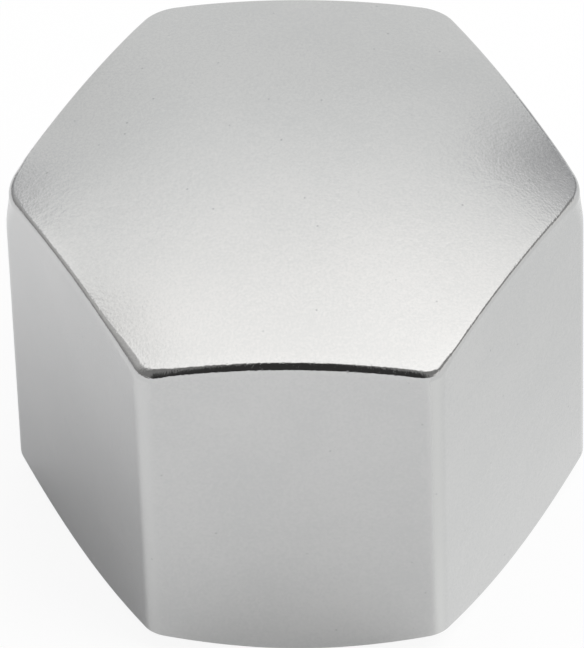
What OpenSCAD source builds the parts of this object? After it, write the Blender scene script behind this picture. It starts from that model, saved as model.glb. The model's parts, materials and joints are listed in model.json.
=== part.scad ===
// Low crowned cap nut, turned from hexagon bar in one piece.
// The nut stands on its bearing face: the origin is the centre of that face and +Z runs up the thread's axis.
// Two opposite upright edges lie on the X axis, so two flats face -Y and +Y.

/* [Hexagon] */
// Width across two opposite flats
across_flats = 13; // [12:0.5:17]
// Radius of the six upright edges
edge_r = 0.6; // [0.5:0.05:1.2]

/* [Crown] */
// Height from the bearing face to the top of the crown
height = 12; // [10:0.5:16]
// Radius of the ball that the crown is turned to
crown_r = 20; // [13:0.5:40]
// Radius of the polished round between the crown and the flats
rim_r = 0.2; // [0.1:0.05:0.35]

/* [Bearing face] */
// How far inside the flats the bearing face ends
face_inset = 0.2; // [0:0.05:0.5]
// Slope of the turned chamfer, from the bearing face
chamfer_angle = 30; // [15:1:45]

/* [Threaded hole] */
// Nominal diameter of the thread
thread_d = 8; // [5:0.5:8]
// Pitch of the thread
thread_pitch = 1.25; // [0.75:0.25:1.5]
// How far outside the thread the countersink's mouth lies
mouth_margin = 0.3; // [0.1:0.05:0.5]
// Full angle of the countersink
mouth_angle = 120; // [90:5:120]
// Full angle of the drill point at the blind end
point_angle = 120; // [110:2:140]
// Thickness of metal between the drill point and the top of the crown
crown_wall = 1.5; // [1:0.1:2.5]

/* [Hidden] */
$fn = 96;
// How far a cutting shape runs past the face that it cuts
overrun = 1;
// Steps of the rim round: along its arc, round an upright edge and along a flat
arc_steps = 5;
edge_steps = 6;
flat_steps = 8;

// Plan of the hexagon
flat_turn = 60;
edge_circle_r = (across_flats / 2 - edge_r) / cos(flat_turn / 2);

// The crown is part of a ball whose centre lies below the bearing face
crown_centre_z = height - crown_r;

// Threaded hole, at the size that it is drilled before tapping
core_r = (thread_d - thread_pitch) / 2;
mouth_r = thread_d / 2 + mouth_margin;
mouth_depth = (mouth_r - core_r) / tan(mouth_angle / 2);
point_z = height - crown_wall;
wall_end_z = point_z - core_r / tan(point_angle / 2);

function unit(v) = v / norm(v);

function plan_direction(turn) = [cos(turn), sin(turn), 0];

// Centre of the round on upright edge number i
function edge_centre(i) = edge_circle_r * plan_direction(flat_turn * i);

// A point round the rim, as the turn of the outward direction there and the centre of the upright edge's round.
// Step 0 to edge_steps goes round upright edge i, and the steps after that follow the flat to the next edge.
function rim_turn(i, step) = flat_turn * (i - 1 / 2 + min(step / edge_steps, 1));
function rim_guide(i, step) =
    let (along = max(step - edge_steps, 0) / flat_steps)
    (1 - along) * edge_centre(i) + along * edge_centre(i + 1);

// Centre of a ball of radius rim_r that touches the side from inside and the crown from below
function ball_centre(guide, out) =
    let (
        plan = guide + (edge_r - rim_r) * out,
        rise = sqrt(pow(crown_r - rim_r, 2) - pow(norm(plan), 2))
    )
    plan + [0, 0, crown_centre_z + rise];

// Direction at share t of the turn from direction a to direction b
function between(a, b, t) =
    let (turn = acos(a * b))
    (sin((1 - t) * turn) * a + sin(t * turn) * b) / sin(turn);

// Section of what the rim round takes away: the ball's arc from the side to the crown, both ends run on
// along their chords into the open, and one point beyond the sharp rim
function rim_section(guide, out) =
    let (
        ball = ball_centre(guide, out),
        up = unit(ball - [0, 0, crown_centre_z]),
        arc = [for (k = [0 : arc_steps]) ball + rim_r * between(out, up, k / arc_steps)],
        run_on = 2 * rim_r,
        low_end = arc[0] + run_on * unit(arc[0] - arc[1]),
        high_end = arc[arc_steps] + run_on * unit(arc[arc_steps] - arc[arc_steps - 1])
    )
    [low_end, for (k = [1 : arc_steps - 1]) arc[k], high_end, ball + 3 * rim_r * unit(out + up)];

// Triangles of a closed ring of sections, each section_size points
function ring_faces(sections, section_size) = [
    for (s = [0 : sections - 1], k = [0 : section_size - 1])
        let (
            next_s = (s + 1) % sections,
            next_k = (k + 1) % section_size,
            a = s * section_size + k,
            b = next_s * section_size + k,
            c = next_s * section_size + next_k,
            d = s * section_size + next_k
        )
        each [[a, b, c], [a, c, d]]
];

// Bar section: a hexagon with its six corners rounded
module hexagon_plan() {
    offset(r = edge_r) circle(r = edge_circle_r, $fn = 6);
}

// Hexagon bar turned to a ball on top and to a cone round the bearing face
module turned_blank() {
    intersection() {
        linear_extrude(height) hexagon_plan();
        translate([0, 0, crown_centre_z]) sphere(r = crown_r);
        chamfer_cone();
    }
}

// Cone that the foot of the nut is chamfered to
module chamfer_cone() {
    face_r = across_flats / 2 - face_inset;
    cylinder(h = height, r1 = face_r, r2 = face_r + height / tan(chamfer_angle));
}

// What polishing takes off the rim: a ball of radius rim_r rolled along under it leaves the round
module rim_round() {
    sections = [
        for (i = [0 : 5], step = [0 : edge_steps + flat_steps - 1])
            rim_section(rim_guide(i, step), plan_direction(rim_turn(i, step)))
    ];
    polyhedron(points = [for (s = sections) each s], faces = ring_faces(len(sections), len(sections[0])));
}

// Blind hole: countersunk mouth, straight wall at tapping size and drill point
module threaded_hole() {
    rotate_extrude()
        polygon([
            [0, -overrun],
            [mouth_r + overrun * tan(mouth_angle / 2), -overrun],
            [core_r, mouth_depth],
            [core_r, wall_end_z],
            [0, point_z]
        ]);
}

module cap_nut() {
    color("silver")
    difference() {
        turned_blank();
        rim_round();
        threaded_hole();
    }
}

cap_nut();
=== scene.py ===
import json
import math

import bpy
import numpy as np
from mathutils import Matrix, Vector


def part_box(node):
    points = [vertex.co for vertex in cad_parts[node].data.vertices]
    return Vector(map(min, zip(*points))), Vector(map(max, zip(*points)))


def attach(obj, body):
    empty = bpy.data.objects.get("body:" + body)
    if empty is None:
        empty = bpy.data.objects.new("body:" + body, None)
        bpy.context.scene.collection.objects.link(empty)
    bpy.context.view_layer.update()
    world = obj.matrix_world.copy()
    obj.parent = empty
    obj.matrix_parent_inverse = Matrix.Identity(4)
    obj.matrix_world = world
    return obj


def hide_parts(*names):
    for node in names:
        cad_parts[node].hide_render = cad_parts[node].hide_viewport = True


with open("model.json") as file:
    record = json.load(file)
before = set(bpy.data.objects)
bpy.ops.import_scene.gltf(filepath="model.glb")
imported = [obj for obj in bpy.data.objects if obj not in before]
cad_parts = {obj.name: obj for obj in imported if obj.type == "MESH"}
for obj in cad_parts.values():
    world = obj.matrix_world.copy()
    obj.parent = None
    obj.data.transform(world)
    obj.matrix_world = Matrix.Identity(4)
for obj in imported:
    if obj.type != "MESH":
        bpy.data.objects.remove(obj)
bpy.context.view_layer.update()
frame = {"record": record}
mm = 0.001  # the shapes below are worked out in millimetres


# The nut's shape, in millimetres. Upright edge 0 points along +X and the others follow every 60 degrees.
# Flat 0 lies between edges 0 and 1, so the flat in front is number 4.
nut = {
    "crownRadius": 20.0,  # ball that the crown is turned to
    "flatRim": (0.16, 0.13, 0.13, 0.17, 0.27, 0.15),  # polished round between the crown and each flat
    "edgeRim": (0.22, 0.16, 0.16, 0.24, 0.35, 0.26),  # the same round over each upright edge
    "reachAfter": 0.7,  # distance along a flat over which its edge's round turns into the flat's
    "reachBefore": (0.7, 0.7, 0.7, 0.7, 2.2, 0.7),  # the same on the flat before each edge
    "wornEdge": (1.2, 1.0, 1.0, 1.3, 0.74, 0.7),  # radius in plan of each upright edge, right at the top
    "wornDepth": 1.3,  # height over which that radius eases to the plain one
    "edgeWearAndSheen": (0.6, 0.5, 0.5, 0.6, 0.4, 1.0),  # how far each upright edge is painted paler: tumbling wear and a painted sheen, strongest on edge 5 at the right front
    "crownPolish": 0.4,  # polish of the crown and of the flats right beside the rim, which has 1
    "sidePolish": 0.6,
    "polishFade": 0.3,  # width over which it fades out
    "rimDrop": 1.0,  # the rim lies about that far below the top
    "footTurned": 0.5,  # share of the lathe's rings on the foot's round, where it meets the chamfer
    "chamferPolish": 0.2,
    "faceEdgePolish": 0.6,
    "facePolish": 0.1,  # also the countersink's
    "mouthPolish": 0.5,
    "faceInset": 0.2,  # bearing face ends this far inside the flats
    "chamferAngle": 30.0,
    "footRound": 0.05,  # tumbled edge between flats and chamfer
    "faceRound": 0.05,  # tumbled edge of the bearing face
    "mouthRound": 0.06,  # tumbled edge of the countersink
    "mouthMargin": 0.3,
    "mouthAngle": 120.0,
    "pointAngle": 120.0,
    "crownWall": 1.5,
    "threadDiameter": 8.0,
    "pitch": 1.25,
    "threadStart": 0.15,  # height where the countersink is as wide as the thread
    "fullThread": 7.0,  # height where the tap's lead begins
    "threadEnd": 8.2,
    "pastThread": 0.03,  # first row of the plain wall above the thread
    "beforePoint": 0.02,  # last row but one of that wall, below the drill point
    "edgeSteps": 12,  # columns round an upright edge
    "flatSteps": 28,  # columns along a flat
    "rimSteps": 10,  # rows round the rim
    "footSteps": 5,  # rows round the foot
    "smallSteps": 3,  # rows round the edges of the bearing face and of the countersink
    "threadSteps": (2, 5, 4, 5),  # rows across the thread's root, flank, crest and flank
    "sharpAngle": 25.0,  # a bend sharper than this is shaded as an edge
}


def planDirection(turn):
    # unit vectors in plan at the given turns, in degrees
    turn = np.radians(turn)
    return np.stack([np.cos(turn), np.sin(turn), np.zeros_like(turn)], axis=-1)


def unit(v):
    # the vector over its length
    return v / np.linalg.norm(v, axis=-1, keepdims=True)


def between(a, b, share):
    # direction at a share of the turn from a to b: the two weighted by the sines of the parts of the turn
    turn = np.arccos(np.clip((a * b).sum(-1, keepdims=True), -1, 1))
    return (np.sin((1 - share) * turn) * a + np.sin(share * turn) * b) / np.sin(turn)


def smooth(share):
    # eases from 0 to 1 with level ends: three squares less two cubes
    share = np.clip(share, 0, 1)
    return share * share * (3 - 2 * share)


# Where the rows lie across each stretch of the nut, as shares of it, closer together at the bends
rowShares = {
    "crown": (*np.linspace(0.04, 0.92, 23), 0.955, 0.975, 0.99, 0.9975),
    "side": (0.004, 0.012, 0.025, 0.045, 0.07, 0.1, 0.13, 0.25, 0.4, 0.55, 0.7, 0.85, 0.95, 0.99),
    "chamfer": (0.03, 0.35, 0.7, 0.97),
    "face": (0.01, 0.2, 0.4, 0.6, 0.8, 0.99),
    "countersink": (0.1, 0.5),
    "point": (0.02, 0.35, 0.7, 0.94),
}
# The nut's columns: round each upright edge by degrees, then along the flat after it by shares of its length
edgeNumbers = np.arange(6)
edgeTurns = np.linspace(-30, 30, nut["edgeSteps"] + 1)
flatShares = np.concatenate([[0.006], np.linspace(0.03, 0.97, nut["flatSteps"] - 2), [0.994]])
# edge share of each column, for the paler wear and painted sheen of the upright edges: full in an edge's
# middle, down to nothing at the flats by a squared cosine
edgeWearAndSheenShares = np.concatenate([np.cos(np.radians(3 * edgeTurns)) ** 2, 0 * flatShares])
edgeWearAndSheenShares = np.outer(nut["edgeWearAndSheen"], edgeWearAndSheenShares).reshape(-1)


def outlineWays():
    # the direction outwards of each column: round every edge, then along the flat after it
    roundWays = planDirection(60.0 * edgeNumbers[:, None] + edgeTurns)
    alongWays = planDirection(60.0 * edgeNumbers[:, None] + 30 + 0 * flatShares)
    return np.concatenate([roundWays, alongWays], axis=1).reshape(-1, 3)


def outline(edgeRadii, halfWidth):
    # the hexagon in plan with its six upright edges rounded, one point for each column: an arc of the edge's
    # radius round a centre that lies that radius inside both flats, then the straight flat to the next arc
    edgeRadii = np.broadcast_to(np.asarray(edgeRadii, float), (6,))
    centreReach = (halfWidth - edgeRadii) / math.cos(math.radians(30))
    centres = planDirection(60.0 * edgeNumbers) * centreReach[:, None]
    ways = planDirection(60.0 * edgeNumbers[:, None] + edgeTurns)
    arcs = centres[:, None] + edgeRadii[:, None, None] * ways
    starts = arcs[:, -1]
    ends = np.roll(arcs[:, 0], -1, axis=0)
    flats = starts[:, None] + (ends - starts)[:, None] * flatShares[:, None]
    return np.concatenate([arcs, flats], axis=1).reshape(-1, 3)


def rimRadii(halfWidth):
    # radius of the rim's round at each column: the edge's own, easing to the flat's over the reach
    reachBefore = np.roll(nut["reachBefore"], -1)[:, None]
    length = 2 * halfWidth * math.tan(math.radians(30))
    edgeRim = np.array(nut["edgeRim"])[:, None]
    nextRim = np.roll(edgeRim, -1, axis=0)
    flatRim = np.array(nut["flatRim"])[:, None]
    here = smooth(1 - flatShares * length / nut["reachAfter"])
    after = smooth(1 - (1 - flatShares) * length / reachBefore)
    along = flatRim + (edgeRim - flatRim) * here + (nextRim - flatRim) * after
    return np.concatenate([edgeRim + 0 * edgeTurns, along], axis=1).reshape(-1)


def radialPoints(away, radius, height):
    # points in each column's direction: the direction times the radius, plus the height
    radius = np.broadcast_to(np.asarray(radius, float), (len(away),))
    height = np.broadcast_to(np.asarray(height, float), (len(away),))
    return away * radius[:, None] + np.array([0, 0, 1.0]) * height[:, None]


def radialNormal(away, slope):
    # direction that points outwards and down, slope in degrees from straight down: its sine outwards and
    # its cosine down
    down = np.array([0, 0, -1.0])
    return math.sin(math.radians(slope)) * away + math.cos(math.radians(slope)) * down


def shellRows(height, halfWidth, edgeRadius):
    # Rows of the closed shell from the top of the crown, over the rim, down the sides, round the foot,
    # across the bearing face and up the countersink. Each row is one ring of points, with its polish,
    # 1 on the rim and the rounded edges, its turned share, 1 where a lathe tool leaves its rings, and its
    # edge share, greatest in the middle of an upright edge.
    out = outlineWays()
    wornEdge = np.array(nut["wornEdge"])
    rimRadius = rimRadii(halfWidth)[:, None]
    crownRadius = nut["crownRadius"]
    crownCentre = np.array([0, 0, height - crownRadius])
    rows = []

    # ball of the rim's radius that touches the side from inside and the crown from below
    ballPlan = outline(wornEdge, halfWidth) - rimRadius * out
    rise = np.sqrt((crownRadius - rimRadius[:, 0]) ** 2 - (ballPlan**2).sum(-1))
    ball = ballPlan + crownCentre + rise[:, None] * np.array([0, 0, 1.0])
    up = unit(ball - crownCentre)

    # crown: the rim's inner line drawn in towards the axis and lifted onto the ball
    rimLine = (crownRadius * up)[:, :2]
    for share in rowShares["crown"]:
        plan = rimLine * share
        lift = np.sqrt(crownRadius**2 - (plan**2).sum(-1)) + crownCentre[2]
        inside = (1 - share) * np.linalg.norm(rimLine, axis=-1)
        polish = nut["crownPolish"] * smooth(1 - inside / nut["polishFade"])
        rows.append((np.column_stack([plan, lift]), polish, 0.0, 0.0))

    # rim round: arc from the crown's normal to the side's
    for share in np.linspace(1, 0, nut["rimSteps"] + 1):
        rows.append((ball + rimRadius * between(out, up, share), 1.0, 0.0, 0.0))

    # sides, down to where the foot's round begins, with the worn edges easing to plain ones
    footRound = nut["footRound"]
    tilt = math.radians(nut["chamferAngle"])
    faceRadius = halfWidth - nut["faceInset"]
    side = outline(edgeRadius, halfWidth)
    footPlan = side - footRound * out
    footAway = unit(footPlan)
    footReach = np.linalg.norm(footPlan, axis=-1)
    footHeight = (footRound + (footReach - faceRadius) * math.sin(tilt)) / math.cos(tilt)
    for share in rowShares["side"]:
        depth = share * (height - nut["rimDrop"])
        row = outline(wornEdge + (edgeRadius - wornEdge) * smooth(depth / nut["wornDepth"]), halfWidth)
        row[:, 2] = ball[:, 2] * (1 - share) + footHeight * share
        polish = nut["sidePolish"] * smooth(1 - depth / nut["polishFade"])
        rows.append((row, polish, 0.0, edgeWearAndSheenShares))

    # foot: ball of the foot's radius that touches the side and the chamfer
    footBall = footPlan.copy()
    footBall[:, 2] = footHeight
    coneNormal = radialNormal(footAway, nut["chamferAngle"])
    for share in np.linspace(0, 1, nut["footSteps"] + 1):
        row = footBall + footRound * between(out, coneNormal, share)
        rows.append((row, 1.0, nut["footTurned"] * share, edgeWearAndSheenShares))

    # chamfer, and the small round at the edge of the bearing face
    faceRound = nut["faceRound"]
    faceBall = radialPoints(footAway, faceRadius - faceRound * math.tan(tilt / 2), faceRound)
    upper = rows[-1][0]
    lower = faceBall + faceRound * coneNormal
    for share in rowShares["chamfer"]:
        rows.append((upper + (lower - upper) * share, nut["chamferPolish"], 1.0, 0.0))
    down = np.broadcast_to(np.array([0, 0, -1.0]), footAway.shape)
    for share in np.linspace(0, 1, nut["smallSteps"] + 1):
        row = faceBall + faceRound * between(coneNormal, down, share)
        rows.append((row, nut["faceEdgePolish"], 1.0, 0.0))

    # bearing face, from its edge in to the countersink's mouth
    mouthRadius = nut["threadDiameter"] / 2 + nut["mouthMargin"]
    mouthSlope = math.radians(90 - nut["mouthAngle"] / 2)
    mouthRound = nut["mouthRound"]
    mouthReach = mouthRadius + mouthRound * math.tan(mouthSlope / 2)
    outerReach = faceRadius - faceRound * math.tan(tilt / 2)
    for share in rowShares["face"]:
        reach = outerReach + (mouthReach - outerReach) * share
        rows.append((radialPoints(footAway, reach, 0), nut["facePolish"], 1.0, 0.0))
    mouthBall = radialPoints(footAway, mouthReach, mouthRound)
    mouthNormal = radialNormal(-footAway, math.degrees(mouthSlope))
    for share in np.linspace(0, 1, nut["smallSteps"] + 1):
        row = mouthBall + mouthRound * between(down, mouthNormal, share)
        rows.append((row, nut["mouthPolish"], 1.0, 0.0))
    start = nut["threadStart"]
    startRadius = mouthRadius - start / math.tan(mouthSlope)
    upper = rows[-1][0]
    lower = radialPoints(footAway, startRadius, start)
    for share in rowShares["countersink"]:
        rows.append((upper + (lower - upper) * share, nut["facePolish"], 1.0, 0.0))
    return rows, footAway, startRadius, mouthSlope, mouthRadius


def threadNodes(coreRadius):
    # One pitch of the 60 degree profile as distances along the axis and radii: a root flat of an eighth of
    # the pitch, a flank, the crest's flat and a flank. A flank is as long as it is deep, times the tangent
    # of 30 degrees.
    pitch = nut["pitch"]
    root = pitch / 8
    flank = (nut["threadDiameter"] / 2 - coreRadius) * math.tan(math.radians(30))
    crest = pitch - root - 2 * flank
    stops = np.cumsum([0, root, flank, crest])
    lengths = [root, flank, crest, flank]
    majorRadius = nut["threadDiameter"] / 2
    radii = [majorRadius, majorRadius, coreRadius, coreRadius, majorRadius]
    along = []
    radius = []
    for part, steps in enumerate(nut["threadSteps"]):
        share = np.arange(steps) / steps
        along.append(stops[part] + lengths[part] * share)
        radius.append(radii[part] + (radii[part + 1] - radii[part]) * share)
    return np.concatenate(along), np.concatenate(radius)


def threadGrid(away, startRadius, mouthSlope, mouthRadius, coreRadius):
    # The thread on a grid that climbs with it: one pitch for a full turn to the left, so a right-hand
    # thread. The radius is the profile's, held between the countersink's cone and the tap's lead.
    # A point outside the two end rings falls on the ring, and its triangles close up. Two spare pitches
    # below and one above reach past both rings.
    turn = np.unwrap(np.arctan2(away[:, 1], away[:, 0]))
    along, profile = threadNodes(coreRadius)
    pitch = nut["pitch"]
    low = nut["threadStart"]
    high = nut["threadEnd"]
    onRing = 1e-6  # a point this close to an end ring's height lies on it
    perPitch = len(along)
    turns = math.ceil((high - low) / pitch) + 3
    rowAlong = np.concatenate([along + pitch * t for t in range(turns)]) + low - 2 * pitch
    rowProfile = np.tile(profile, turns)
    columns = len(turn)
    share = (turn - turn[0]) / (2 * math.pi)
    z = rowAlong[:, None] + pitch * share[None, :]
    radius = np.repeat(rowProfile[:, None], columns, axis=1)
    lead = np.clip((z - nut["fullThread"]) / (high - nut["fullThread"]), 0, 1)
    major = nut["threadDiameter"] / 2
    radius = np.minimum(radius, major + (coreRadius - major) * lead)
    radius = np.maximum(radius, mouthRadius - z / math.tan(mouthSlope))
    below = z <= low + onRing
    above = z >= high - onRing
    free = ~(below | above)
    points = np.stack([away[None, :, 0] * radius, away[None, :, 1] * radius, z], axis=-1)
    # numbers: the start ring first, then the end ring, then the free points
    number = np.zeros(z.shape, int)
    number[free] = 2 * columns + np.arange(free.sum())
    ring = np.broadcast_to(np.arange(columns), z.shape)
    number[below] = ring[below]
    number[above] = columns + ring[above]
    # the closing column is the first one, one pitch further up
    closing = np.full(len(z), columns)
    closing[:-perPitch] = number[perPitch:, 0]
    number = np.column_stack([number, closing])
    a = number[:-1, :-1].ravel()
    b = number[1:, :-1].ravel()
    c = number[1:, 1:].ravel()
    d = number[:-1, 1:].ravel()
    triangles = np.concatenate([np.column_stack([a, b, c]), np.column_stack([a, c, d])])
    real = triangles[:, 0] != triangles[:, 1]
    real &= triangles[:, 1] != triangles[:, 2]
    real &= triangles[:, 0] != triangles[:, 2]
    startRing = radialPoints(away, startRadius, low)
    endRing = radialPoints(away, coreRadius, high)
    return startRing, endRing, points[free], triangles[real]


def gridFaces(first, count, columns):
    # quads between count rings of points, closed all round, the first point of the first ring is first
    index = first + np.arange(count * columns).reshape(count, columns)
    after = np.roll(index, -1, axis=1)
    quads = np.stack([index[:-1], index[1:], after[1:], after[:-1]], axis=-1)
    return quads.reshape(-1, 4)


def fanFaces(pole, ring, poleFirst):
    # triangles between a pole and a closed ring
    after = np.roll(ring, -1)
    tip = np.full(len(ring), pole)
    if poleFirst:
        return np.column_stack([tip, ring, after])
    return np.column_stack([ring, tip, after])


def makeNut():
    # One closed surface: the shell's rows, the thread's grid, then the plain wall and the drill point. Its
    # size comes from the solid's box: an upright edge of radius r lies r times (1 / cos 30 - 1) inside the
    # sharp corner.
    low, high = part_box("cap_nut")
    height = high.z / mm
    halfWidth = (high.y - low.y) / 2 / mm
    halfCorners = (high.x - low.x) / 2 / mm
    sharpCorner = halfWidth / math.cos(math.radians(30))
    edgeRadius = (sharpCorner - halfCorners) / (1 / math.cos(math.radians(30)) - 1)
    mounts = {m["name"]: m for m in frame["record"]["mounts"]}
    coreRadius = mounts["thread"]["dims"]["r_mm"]

    rows, away, startRadius, mouthSlope, mouthRadius = shellRows(height, halfWidth, edgeRadius)
    columns = len(away)
    points = [np.array([[0, 0, height]])]
    looks = {name: [np.zeros(1)] for name in ("polish", "turned", "edge", "bore")}
    for row, *shares in rows:
        points.append(row)
        for name, share in zip(looks, (*shares, 0.0)):
            looks[name].append(np.broadcast_to(share, (columns,)))
    shellCount = 1 + len(rows) * columns
    faces = [fanFaces(0, 1 + np.arange(columns), True)]
    quads = gridFaces(1, len(rows), columns)

    startRing, endRing, inner, triangles = threadGrid(away, startRadius, mouthSlope, mouthRadius, coreRadius)
    faces.append(triangles + shellCount)
    points += [startRing, endRing, inner]
    threadCount = 2 * columns + len(inner)
    lastRow = shellCount - columns + np.arange(columns)
    startIds = shellCount + np.arange(columns)
    joint = np.stack([lastRow, startIds, np.roll(startIds, -1), np.roll(lastRow, -1)], axis=-1)
    quads = np.concatenate([quads, joint])

    # plain wall and drill point above the thread, with rows close to each bend
    pointHeight = height - nut["crownWall"]
    pointRise = coreRadius / math.tan(math.radians(nut["pointAngle"] / 2))
    wallEnd = pointHeight - pointRise
    deep = []
    for level in [nut["threadEnd"] + nut["pastThread"], wallEnd - nut["beforePoint"], wallEnd]:
        deep.append(radialPoints(away, coreRadius, level))
    for share in rowShares["point"]:
        deep.append(radialPoints(away, coreRadius * (1 - share), wallEnd + pointRise * share))
    deepFirst = shellCount + threadCount
    points += deep
    endIds = shellCount + columns + np.arange(columns)
    firstDeep = deepFirst + np.arange(columns)
    joint = np.stack([endIds, firstDeep, np.roll(firstDeep, -1), np.roll(endIds, -1)], axis=-1)
    quads = np.concatenate([quads, joint, gridFaces(deepFirst, len(deep), columns)])
    pole = deepFirst + len(deep) * columns
    points.append(np.array([[0, 0, pointHeight]]))
    faces.append(fanFaces(pole, pole - columns + np.arange(columns), False))
    inBore = threadCount + len(deep) * columns + 1
    for name in looks:
        looks[name].append(np.full(inBore, float(name == "bore")))

    allPoints = np.concatenate(points) * mm
    mesh = bpy.data.meshes.new("capNut")
    mesh.from_pydata(allPoints, [], np.concatenate(faces).tolist() + quads.tolist())
    for name, values in looks.items():
        layer = mesh.attributes.new(name, "FLOAT", "POINT")
        layer.data.foreach_set("value", np.concatenate(values).astype(np.float32))
    mesh.shade_smooth()
    mesh.set_sharp_from_angle(angle=math.radians(nut["sharpAngle"]))
    mesh.update()
    piece = bpy.data.objects.new("capNut", mesh)
    bpy.context.scene.collection.objects.link(piece)
    print("nut:", len(mesh.vertices), "points,", len(mesh.polygons), "faces")
    return piece


def addNode(tree, kind, inputs=None, **settings):
    # one node, with its settings, and each input linked or given a value
    node = tree.nodes.new(kind)
    for name, value in settings.items():
        setattr(node, name, value)
    for name, value in (inputs or {}).items():
        socket = node.inputs[name]
        if isinstance(value, bpy.types.NodeSocket):
            tree.links.new(value, socket)
        else:
            socket.default_value = value
    return node


def compute(tree, operation, *values, clamp=False):
    # a Math node on one to three values
    node = tree.nodes.new("ShaderNodeMath")
    node.operation = operation
    node.use_clamp = clamp
    for socket, value in zip(node.inputs, values):
        if isinstance(value, bpy.types.NodeSocket):
            tree.links.new(value, socket)
        else:
            socket.default_value = value
    return node.outputs[0]


def ramp(tree, value, fromMin, fromMax, toMin, toMax, kind="SMOOTHSTEP"):
    # eases from one value to another as the input crosses a span
    node = addNode(tree, "ShaderNodeMapRange", interpolation_type=kind)
    tree.links.new(value, node.inputs["Value"])
    node.inputs["From Min"].default_value = fromMin
    node.inputs["From Max"].default_value = fromMax
    node.inputs["To Min"].default_value = toMin
    node.inputs["To Max"].default_value = toMax
    return node.outputs["Result"]


def noise(tree, vector, scale, detail, roughness=0.5, output=0):
    # soft random value about a half, or with output 1 a random colour
    inputs = {"Vector": vector, "Scale": scale, "Detail": detail, "Roughness": roughness}
    return addNode(tree, "ShaderNodeTexNoise", inputs).outputs[output]


def blend(tree, share, first, second):
    # first where the share is 0, second where it is 1
    return addNode(tree, "ShaderNodeMix", {0: share, 2: first, 3: second}, data_type="FLOAT").outputs[0]


def blendColour(tree, share, first, second):
    # the same for colours, each a socket or three values
    node = addNode(tree, "ShaderNodeMix", {0: share}, data_type="RGBA")
    for socket, value in ((node.inputs[6], first), (node.inputs[7], second)):
        if isinstance(value, bpy.types.NodeSocket):
            tree.links.new(value, socket)
        else:
            socket.default_value = (*value, 1)
    return node.outputs[2]


def bump(tree, height, distance, normal=None):
    # relief of a height between 0 and 1, its full depth given in millimetres
    inputs = {"Height": height, "Distance": distance * mm, "Strength": 1.0}
    if normal is not None:
        inputs["Normal"] = normal
    return addNode(tree, "ShaderNodeBump", inputs).outputs[0]


def attribute(tree, name):
    # one of the shares kept with the nut's points
    return addNode(tree, "ShaderNodeAttribute", attribute_name=name).outputs["Fac"]


def newTree(name):
    # a material with nothing in it, and its nodes
    material = bpy.data.materials.new(name)
    material.use_nodes = True
    material.node_tree.nodes.clear()
    return material, material.node_tree


# Satin stainless steel, tumbled: soft orange peel on the crown, fine grain, a few pits, polished rim.
# Lengths are in millimetres. A noise has a scale per millimetre, a detail, and a roughness where it isn't
# a half. A span is the part of a noise's range over which something sets in.
steel = {
    "colour": (0.558, 0.565, 0.562),
    "paleColour": (0.598, 0.601, 0.596),  # of the lighter clouds and grain
    "edgeWearAndSheenColour": (0.64, 0.646, 0.638),  # of the upright edges: paler for tumbling wear, and a painted sheen
    # darker colour in the pits
    "pitColour": (0.42, 0.43, 0.43),
    "threadColour": (0.36, 0.36, 0.35),
    "roughness": 0.2,
    "roughnessSpread": 0.08,  # from the grain's low spots to its high ones
    "rimRoughness": 0.07,
    "threadRoughness": 0.38,
    "peelNoise": (3.4, 2.0, 0.55),
    "peelDepth": 0.004,
    "swirlNoise": (1.3, 1.0),  # slower, it draws the peel out of shape
    "swirlReach": (0.9, 0.9, 0.9),
    "patchNoise": (0.28, 1.0),
    "patchSpan": (0.42, 0.6),
    "patchDepths": (0.6, 1.8),  # the peel comes and goes in patches
    "grainNoise": (15.0, 2.0, 0.6),
    "grainDepth": 0.0035,
    "cloudNoise": (0.45, 2.0),
    "cloudShare": 0.3,  # share of the clouds in the mottle, the rest is grain
    "mottleSpan": (0.36, 0.64),
    "pitScale": 3.0,  # cells per millimetre that may hold a pit
    "pitShare": 0.15,  # share of the cells that do
    "pitRadius": 0.04,
    "pitFlat": 0.4,  # share of that radius where the pit is at its full depth
    "pitDepth": 0.002,
    "pitTint": 0.9,  # how far the colour in a pit darkens towards the pit colour
    "ringSpacing": 0.11,  # of the lathe tool's rings on the foot and the bearing face
    "ringDepth": 0.0016,
    "ringWander": 9.0,  # radians by which a slow noise shifts them
    "wanderNoise": (0.8, 1.0),
    "rimWaveNoise": (6.0, 1.0),
    "rimWaveDepth": 0.0035,
    "nickNoise": (9.0, 2.0),  # small knocks along the rim
    "nickSpan": (0.58, 0.7),
    "nickDepth": 0.0018,
}


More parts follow.
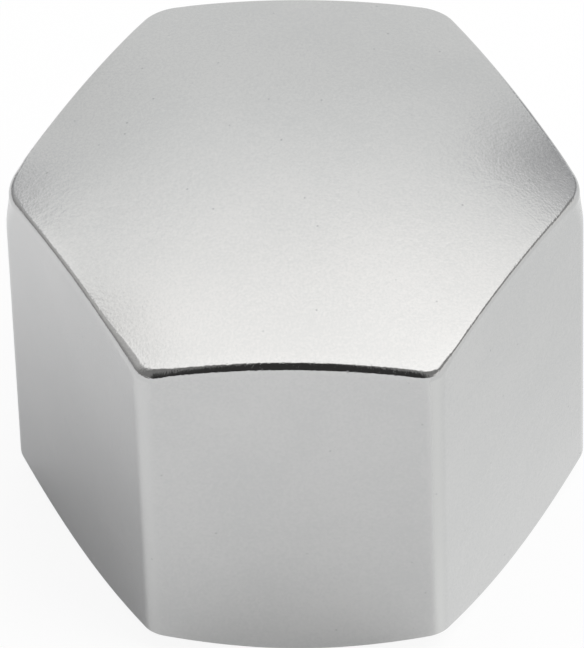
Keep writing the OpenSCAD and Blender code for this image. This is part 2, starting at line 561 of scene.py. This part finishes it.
def makeSteel():
    # Metal whose relief, colour and roughness are sums and blends of the parts below, each limited to its
    # place by the shares kept with the nut's points.
    material, tree = newTree("satinStainless")
    place = addNode(tree, "ShaderNodeTexCoord").outputs["Object"]
    toMillimetres = {"Vector": place, "Scale": (1000, 1000, 1000)}
    millimetres = addNode(tree, "ShaderNodeMapping", toMillimetres).outputs[0]
    polish = attribute(tree, "polish")
    turned = attribute(tree, "turned")
    bore = attribute(tree, "bore")
    plain = compute(tree, "SUBTRACT", 1.0, polish, clamp=True)

    # orange peel, drawn out of shape by a slower noise so that it swirls
    swirl = noise(tree, millimetres, *steel["swirlNoise"], output=1)
    pushInputs = {0: swirl, 1: steel["swirlReach"]}
    pushed = addNode(tree, "ShaderNodeVectorMath", pushInputs, operation="MULTIPLY").outputs[0]
    placeInputs = {0: millimetres, 1: pushed}
    peelPlace = addNode(tree, "ShaderNodeVectorMath", placeInputs, operation="ADD").outputs[0]
    peel = noise(tree, peelPlace, *steel["peelNoise"])
    patches = noise(tree, millimetres, *steel["patchNoise"])
    patches = ramp(tree, patches, *steel["patchSpan"], *steel["patchDepths"])
    peel = compute(tree, "MULTIPLY", peel, patches)
    grain = noise(tree, millimetres, *steel["grainNoise"])
    clouds = noise(tree, millimetres, *steel["cloudNoise"])

    # pits: a small dent at the middle of a few random cells
    cells = addNode(tree, "ShaderNodeTexVoronoi", {"Vector": millimetres, "Scale": steel["pitScale"]})
    reach = steel["pitRadius"] * steel["pitScale"]
    dent = ramp(tree, cells.outputs["Distance"], steel["pitFlat"] * reach, reach, 1.0, 0.0)
    chance = addNode(tree, "ShaderNodeSeparateColor", {0: cells.outputs["Color"]}).outputs[0]
    pit = compute(tree, "MULTIPLY", dent, compute(tree, "LESS_THAN", chance, steel["pitShare"]))
    pit = compute(tree, "MULTIPLY", pit, plain)

    # lathe rings: a wave along the radius, a little uneven
    parts = addNode(tree, "ShaderNodeSeparateXYZ", {0: millimetres})
    x, y, z = parts.outputs
    square = compute(tree, "MULTIPLY_ADD", x, x, compute(tree, "MULTIPLY", y, y))
    radius = compute(tree, "SQRT", square)
    uneven = noise(tree, millimetres, *steel["wanderNoise"])
    wander = compute(tree, "MULTIPLY", uneven, steel["ringWander"])
    phase = compute(tree, "MULTIPLY_ADD", radius, 2 * math.pi / steel["ringSpacing"], wander)
    rings = compute(tree, "MULTIPLY_ADD", compute(tree, "SINE", phase), 0.5, 0.5)
    rings = compute(tree, "MULTIPLY", rings, turned)

    # rim: polished, with slow waves and a few knocks in place of the peel
    wave = compute(tree, "MULTIPLY", noise(tree, millimetres, *steel["rimWaveNoise"]), polish)
    nicks = noise(tree, millimetres, *steel["nickNoise"])
    nicks = compute(tree, "MULTIPLY", ramp(tree, nicks, *steel["nickSpan"], 1.0, 0.0), polish)

    normal = bump(tree, compute(tree, "MULTIPLY", peel, plain), steel["peelDepth"])
    normal = bump(tree, grain, steel["grainDepth"], normal)
    normal = bump(tree, compute(tree, "SUBTRACT", 1.0, pit), steel["pitDepth"], normal)
    normal = bump(tree, rings, steel["ringDepth"], normal)
    normal = bump(tree, wave, steel["rimWaveDepth"], normal)
    normal = bump(tree, nicks, steel["nickDepth"], normal)

    cloudPart = compute(tree, "MULTIPLY", clouds, steel["cloudShare"])
    mottle = compute(tree, "MULTIPLY_ADD", grain, 1 - steel["cloudShare"], cloudPart)
    tone = ramp(tree, mottle, *steel["mottleSpan"], 0.0, 1.0)
    colour = blendColour(tree, tone, steel["colour"], steel["paleColour"])
    # upright edges painted paler: tumbling wear and a painted sheen
    colour = blendColour(tree, attribute(tree, "edge"), colour, steel["edgeWearAndSheenColour"])
    # darker in the pits
    colour = blendColour(tree, compute(tree, "MULTIPLY", pit, steel["pitTint"]), colour, steel["pitColour"])
    colour = blendColour(tree, bore, colour, steel["threadColour"])
    spread = steel["roughnessSpread"]
    roughness = compute(tree, "MULTIPLY_ADD", grain, spread, steel["roughness"] - spread / 2)
    roughness = blend(tree, polish, roughness, steel["rimRoughness"])
    roughness = blend(tree, bore, roughness, steel["threadRoughness"])
    inputs = {"Metallic": 1.0, "Base Color": colour, "Roughness": roughness, "Normal": normal}
    shader = addNode(tree, "ShaderNodeBsdfPrincipled", inputs)
    output = addNode(tree, "ShaderNodeOutputMaterial")
    tree.links.new(shader.outputs[0], output.inputs["Surface"])
    return material


# The studio's floor and lamps, in millimetres. Light levels are 1 for white.
studio = {
    "floorRadius": 1500.0,
    "floorOpening": 6.1,  # hidden under the nut
    "floorColumns": 96,
    "floorRings": 24,
    "floorColour": (0.876, 0.88, 0.9),
    "whiteForCamera": 0.91,  # share of plain white in what the camera sees of the floor
    "paintedMirrorLightShares": (0.08, 0.96),  # painted light for mirrors: share of glow in the floor as mirrors see it, on the left and in front, and on the nut's right
    "whiteSpan": (-0.8, 0.6),  # distance aside over which one turns into the other
    "whiteLean": 0.6,  # that line's lean, in distance aside for distance away
    "paintedMirrorLevels": (0.98, 0.9),  # levels of that painted glow in mirrors, close to the nut and further out
    "mirrorSpan": (6.5, 13.0),  # distance from the axis over which one turns into the other
    "lampColour": (1.0, 0.995, 0.965),
    "lamps": (  # place, size and power
        ((280, -120, 440), 240, 0.8),
        ((150, 10, 500), 320, 0.57),
    ),
}


def makeFloor():
    # Flat rings from the opening under the nut out to the floor's edge, each wider than the last by the same
    # factor. The floor is matt and keeps the nut's shadow, with a share of plain white mixed in for the
    # camera. For mirrors, a painted glow is mixed in that is brighter on the nut's right and close to the
    # nut.
    columns = studio["floorColumns"]
    reach = np.geomspace(studio["floorOpening"], studio["floorRadius"], studio["floorRings"])
    turn = np.arange(columns) * 2 * math.pi / columns
    x = reach[:, None] * np.cos(turn)[None, :]
    y = reach[:, None] * np.sin(turn)[None, :]
    points = np.stack([x, y, np.zeros_like(x)], axis=-1).reshape(-1, 3) * mm
    faces = gridFaces(0, len(reach), columns)
    mesh = bpy.data.meshes.new("floor")
    mesh.from_pydata(points, [], faces.tolist())
    mesh.update()
    floor = bpy.data.objects.new("floor", mesh)
    bpy.context.scene.collection.objects.link(floor)
    material, tree = newTree("paleFloor")
    diffuse = addNode(tree, "ShaderNodeBsdfDiffuse", {"Color": (*studio["floorColour"], 1)})
    path = addNode(tree, "ShaderNodeLightPath")
    toCamera = path.outputs["Is Camera Ray"]
    toMirrors = compute(tree, "MAXIMUM", path.outputs["Is Glossy Ray"], path.outputs["Is Transmission Ray"])
    place = addNode(tree, "ShaderNodeTexCoord").outputs["Object"]
    x, y, z = addNode(tree, "ShaderNodeSeparateXYZ", {0: place}).outputs
    away = compute(tree, "SQRT", compute(tree, "MULTIPLY_ADD", x, x, compute(tree, "MULTIPLY", y, y)))
    start, stop = studio["mirrorSpan"]
    # painted glow level for mirrors, brighter close to the nut
    paintedMirrorLevel = ramp(tree, away, start * mm, stop * mm, *studio["paintedMirrorLevels"])
    glow = addNode(tree, "ShaderNodeEmission", {"Strength": blend(tree, toCamera, paintedMirrorLevel, 1.0)})
    aside = compute(tree, "MULTIPLY_ADD", y, studio["whiteLean"], x)
    start, stop = studio["whiteSpan"]
    # painted light for mirrors: more glow in the floor on the nut's right
    white = ramp(tree, aside, start * mm, stop * mm, *studio["paintedMirrorLightShares"])
    share = compute(tree, "MULTIPLY", toCamera, studio["whiteForCamera"])
    share = compute(tree, "MULTIPLY_ADD", toMirrors, white, share, clamp=True)
    surface = addNode(tree, "ShaderNodeMixShader", {0: share, 1: diffuse.outputs[0], 2: glow.outputs[0]})
    # seen from below, the floor lets the underside of the nut show
    below = addNode(tree, "ShaderNodeNewGeometry").outputs["Backfacing"]
    clear = addNode(tree, "ShaderNodeBsdfTransparent")
    under = compute(tree, "MULTIPLY", below, toCamera)
    both = addNode(tree, "ShaderNodeMixShader", {0: under, 1: surface.outputs[0], 2: clear.outputs[0]})
    output = addNode(tree, "ShaderNodeOutputMaterial")
    tree.links.new(both.outputs[0], output.inputs["Surface"])
    floor.data.materials.append(material)


# The light round the nut by direction: x to the right, y away from the camera, z up. Levels are 1 for white.
# Each pair is a span of what its note names, over which that border fades.
sky = {
    "panelSides": (0.75, 1.15),  # x over z
    "panelNear": (-0.2, -0.08),  # y
    "panelLow": (0.48, 0.64),  # z
    "panelLift": 0.05,  # the low border is that much higher on the right
    "panelLiftFrom": (-0.2, 0.3),  # x
    "panelTuck": (0.45, -0.027),  # the left side lies that much further in near the camera, and away from it
    "panelTuckNear": (0.27, 0.47),  # y
    "panelTuckLeft": (-0.3, 0.0),  # x
    "overhead": 1.46,  # the panel's level straight above
    "overheadSpan": (0.88, 0.13),  # y, from the wall's level to that one
    "overheadColour": (1.015, 1.0, 0.99),
    "warmSpan": (0.95, 1.4),  # level over which that colour sets in
    "moreRight": 0.08,  # that much more to the right of straight above
    "moreRightFrom": (0.0, 0.25),  # x
    "moreRightUpTo": (0.4, 0.65),  # y
    "stripe": 0.11,  # that much less in a stripe on the panel's left
    "stripeRight": (-0.4, -0.22),  # x
    "stripeLeft": (-0.52, -0.43),  # x
    "stripeBeyond": -0.3,  # left of the stripe, that share of it, so a little more light
    "stripeNear": (0.3, 0.55),  # y
    "wall": 0.92,
    "wallSides": (0.36, 0.62),  # x over y
    "wallNear": (0.02, 0.08),  # y
    "wallLeft": 0.2,  # it reaches that much further on the left
    "wallLeftFrom": (-0.3, 0.3),  # x
    "gapFrom": (0.34, 0.42),  # x, of the gap in the wall low on the right
    "gapUpTo": (0.32, 0.44),  # z
    "left": (0.38, 0.62),  # low and high
    "leftSpan": (0.15, 0.6),  # z
    "right": 0.36,
    "farRight": 0.65,  # patch beside it that lightens the tip of the crown's right corner
    "farRightFrom": (0.44, 0.5),  # x
    "farRightUpTo": (0.54, 0.62),  # x
    "middle": (-0.3, 0.3),  # x, from what is on the left to what is on the right
    "flanks": (0.26, 0.28),  # to the left and the right of the camera
    "flankSpan": (0.0, 0.6),  # how far a direction points towards the camera
    "front": 0.045,  # the camera and what stands behind it
    "frontSpan": (0.86, 0.97),
    "dimColour": (1.0, 1.003, 1.03),
    "lowRight": 0.93,
    "lowRightUpTo": (0.28, 0.42),  # z
    "lowRightFrom": (0.6, 0.8),  # x
    "leastDivisor": 0.02,
}


def makeWorld():
    # A light panel hangs above, from just in front of straight up to the back, over a white wall. The sides
    # are dimmer, the sector round the camera is dark, and low on the right it is light again. A form's share
    # is the product of the ramps at its borders, and its level is blended in by that share.
    world = bpy.data.worlds.new("studio")
    bpy.context.scene.world = world
    world.use_nodes = True
    tree = world.node_tree
    tree.nodes.clear()
    direction = addNode(tree, "ShaderNodeTexCoord").outputs["Generated"]
    parts = addNode(tree, "ShaderNodeSeparateXYZ", {0: direction})
    x, y, z = parts.outputs
    aside = compute(tree, "ABSOLUTE", x)

    def border(value, name, first=0.0, last=1.0):
        # ramp over a span of the sky's dictionary
        return ramp(tree, value, *sky[name], first, last)

    def product(first, *others):
        # all the values multiplied
        for other in others:
            first = compute(tree, "MULTIPLY", first, other)
        return first

    # panel: its sides lie at a fixed slope from straight up, and further in at the near left corner
    slope = compute(tree, "DIVIDE", aside, compute(tree, "MAXIMUM", z, sky["leastDivisor"]))
    tuckNear, tuckAway = sky["panelTuck"]
    tuck = border(y, "panelTuckNear", 1.0, tuckAway / tuckNear)
    slope = compute(tree, "ADD", slope, product(border(x, "panelTuckLeft", tuckNear, 0.0), tuck))
    lower = compute(tree, "SUBTRACT", z, border(x, "panelLiftFrom", 0.0, sky["panelLift"]))
    panel = product(border(slope, "panelSides", 1.0, 0.0), border(y, "panelNear"), border(lower, "panelLow"))
    # wall: a sector at the back that reaches further on the left and has a gap low on the right
    spread = compute(tree, "DIVIDE", aside, compute(tree, "MAXIMUM", y, sky["leastDivisor"]))
    spread = compute(tree, "SUBTRACT", spread, border(x, "wallLeftFrom", sky["wallLeft"], 0.0))
    gap = product(border(x, "gapFrom"), border(z, "gapUpTo", 1.0, 0.0))
    noGap = compute(tree, "SUBTRACT", 1.0, gap)
    wall = product(border(spread, "wallSides", 1.0, 0.0), border(y, "wallNear"), noGap)
    bright = compute(tree, "MAXIMUM", panel, wall)
    # their level rises from the wall's to the one straight above
    level = ramp(tree, y, *sky["overheadSpan"], sky["wall"], sky["overhead"], "LINEAR")
    more = product(border(x, "moreRightFrom", 0.0, sky["moreRight"]), border(y, "moreRightUpTo", 1.0, 0.0))
    less = product(border(x, "stripeRight", sky["stripe"], 0.0), border(y, "stripeNear"))
    less = product(less, border(x, "stripeLeft", sky["stripeBeyond"], 1.0))
    level = compute(tree, "ADD", level, compute(tree, "SUBTRACT", more, less))
    # what is left: dim at the sides, darkest towards the camera. The share that a direction points towards
    # the camera is -y over its length in plan.
    left = border(z, "leftSpan", *sky["left"])
    farRight = product(border(x, "farRightFrom"), border(x, "farRightUpTo", 1.0, 0.0))
    right = blend(tree, farRight, sky["right"], sky["farRight"])
    side = blend(tree, border(x, "middle"), left, right)
    planSquare = compute(tree, "MULTIPLY_ADD", x, x, product(y, y))
    plan = compute(tree, "SQRT", compute(tree, "MAXIMUM", planSquare, sky["leastDivisor"] ** 2))
    towards = compute(tree, "DIVIDE", product(y, -1.0), plan)
    flank = border(x, "middle", *sky["flanks"])
    dim = blend(tree, border(towards, "flankSpan"), side, flank)
    dim = blend(tree, border(towards, "frontSpan"), dim, sky["front"])
    light = blend(tree, bright, dim, level)
    lowRight = product(border(z, "lowRightUpTo", 1.0, 0.0), border(x, "lowRightFrom"))
    light = blend(tree, lowRight, light, sky["lowRight"])

    path = addNode(tree, "ShaderNodeLightPath")
    strength = blend(tree, path.outputs["Is Camera Ray"], light, 1.0)
    colour = blendColour(tree, bright, sky["dimColour"], (1.0, 1.0, 1.0))
    colour = blendColour(tree, border(level, "warmSpan"), colour, sky["overheadColour"])
    background = addNode(tree, "ShaderNodeBackground", {"Color": colour, "Strength": strength})
    output = addNode(tree, "ShaderNodeOutputWorld")
    tree.links.new(background.outputs[0], output.inputs["Surface"])


def makeLamps():
    # Round soft lamps from the right, out of sight of the camera and of mirrors. They give the floor its
    # shadow on the left; the metal shows the panel and the wall in their place.
    for number, (place, size, power) in enumerate(studio["lamps"]):
        lamp = bpy.data.lights.new("lamp" + str(number), "AREA")
        lamp.shape = "DISK"
        lamp.size = size * mm
        lamp.energy = power
        lamp.color = studio["lampColour"]
        lampObject = bpy.data.objects.new(lamp.name, lamp)
        lampObject.location = Vector(place) * mm
        lampObject.rotation_mode = "QUATERNION"
        lampObject.rotation_quaternion = Vector(place).to_track_quat("Z", "Y")
        lampObject.visible_camera = False
        lampObject.visible_glossy = False
        bpy.context.scene.collection.objects.link(lampObject)


cameraSetup = {
    "azimuth": 2.53,  # degrees to the right of straight in front
    "elevation": 47.45,
    "roll": -1.83,
    "distance": 242.9,  # mm from the middle of the nut
    "target": (0.0, 0.0, 6.0),
    "picture": (584, 648),  # pixels
    "focalPixels": 9363.0,
    "targetPixel": (297.44, 310.54),  # where the middle of the nut lies in the picture
    "sensor": 36.0,  # mm along the picture's longer side
    "clip": (10.0, 10000.0),  # mm
}


def makeCamera():
    # The camera stands at its distance from a point beside the target, which brings the target to its pixel:
    # a pixel at the nut is the distance over the focal length in pixels.
    setup = cameraSetup
    azimuth, elevation, roll = (math.radians(setup[name]) for name in ("azimuth", "elevation", "roll"))
    level = math.cos(elevation)
    back = Vector((math.sin(azimuth) * level, -math.cos(azimuth) * level, math.sin(elevation)))
    right = Vector((math.cos(azimuth), math.sin(azimuth), 0))
    up = back.cross(right)
    cameraRight = math.cos(roll) * right + math.sin(roll) * up
    cameraUp = math.cos(roll) * up - math.sin(roll) * right
    width, height = setup["picture"]
    pixel = setup["distance"] / setup["focalPixels"]
    aside = (setup["targetPixel"][0] - width / 2) * pixel
    above = (height / 2 - setup["targetPixel"][1]) * pixel
    spot = Vector(setup["target"]) + back * setup["distance"] - cameraRight * aside - cameraUp * above
    camera = bpy.data.cameras.new("camera")
    camera.sensor_width = setup["sensor"]
    camera.lens = setup["focalPixels"] * setup["sensor"] / height
    camera.clip_start, camera.clip_end = (limit * mm for limit in setup["clip"])
    cameraObject = bpy.data.objects.new("camera", camera)
    turn = Matrix((cameraRight, cameraUp, back)).transposed()
    cameraObject.matrix_world = Matrix.Translation(spot * mm) @ turn.to_4x4()
    bpy.context.scene.collection.objects.link(cameraObject)
    bpy.context.scene.camera = cameraObject


bpy.context.scene.view_settings.view_transform = "Standard"
makeCamera()
print("camera: set")
capNut = makeNut()
capNut.data.materials.append(makeSteel())
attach(capNut, "root")
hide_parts("cap_nut")
makeFloor()
makeWorld()
makeLamps()
print("studio: floor, sky and lamps")
